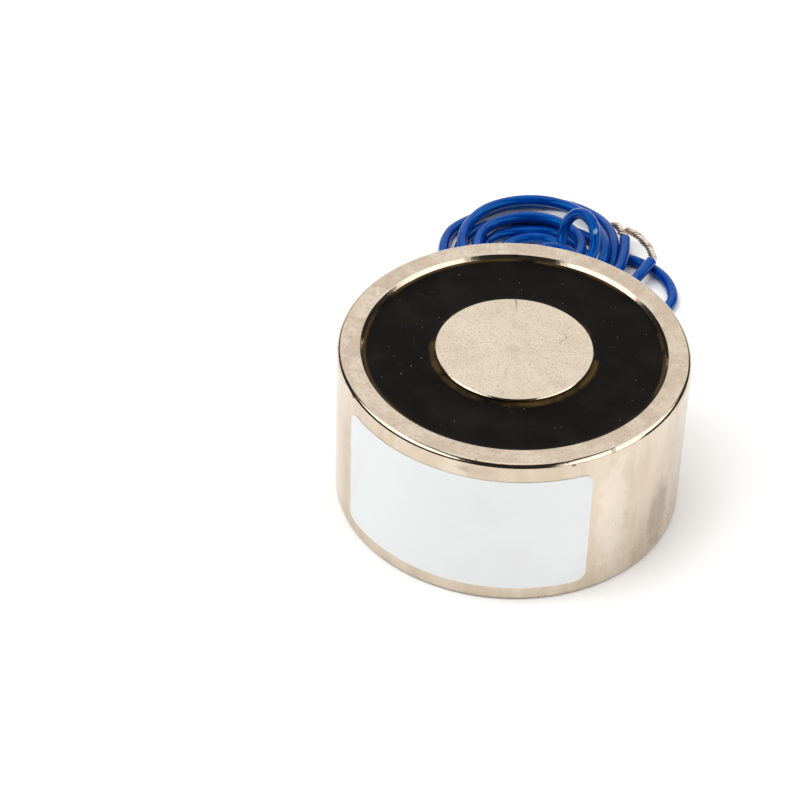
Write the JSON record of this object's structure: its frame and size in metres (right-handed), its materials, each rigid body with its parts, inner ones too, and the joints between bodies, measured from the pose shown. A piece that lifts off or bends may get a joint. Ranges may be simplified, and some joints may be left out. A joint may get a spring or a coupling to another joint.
{
  "type": "holding electromagnet",
  "caption": "Round pot holding electromagnet with a flat pole face, a coil potted in black resin, blue wire leads and a tapped hole in its back.",
  "frame": {"origin": "centre of the pot's back face", "axes": "+Z from the back towards the pole face, +Y towards the lead exit, -Y towards the label"},
  "size_m": [0.0425, 0.0735, 0.02],
  "materials": {
    "nickel_plate": "satin nickel plate on turned steel",
    "nylon": "natural moulded nylon",
    "enamelled_copper": "enamelled copper wire",
    "winding_tape": "polyester tape",
    "solder": "dull solder",
    "shrink_sleeve": "black heat-shrink sleeve",
    "blue_insulation": "smooth vinyl wire insulation",
    "black_resin": "cast black epoxy, satin",
    "label_paper": "white paper sticker, semi-gloss",
    "tinned_copper": "tinned copper strands"
  },
  "bodies": {
    "root": {"pot_housing": "nickel_plate", "bobbin": "nylon", "coil_winding": "enamelled_copper", "winding_tape": "winding_tape", "winding_start": "enamelled_copper", "winding_finish": "enamelled_copper", "solder_joint_a": "solder", "solder_joint_b": "solder", "joint_sleeve_a": "shrink_sleeve", "joint_sleeve_b": "shrink_sleeve", "lead_a_inner": "blue_insulation", "lead_b_inner": "blue_insulation", "potting_resin": "black_resin", "label": "label_paper", "lead_a_run": "blue_insulation", "lead_b_run": "blue_insulation", "lead_coil": "blue_insulation", "lead_a_end": "blue_insulation", "lead_b_end": "blue_insulation", "conductor_a": "tinned_copper", "conductor_b": "tinned_copper"}
  },
  "joints": []
}
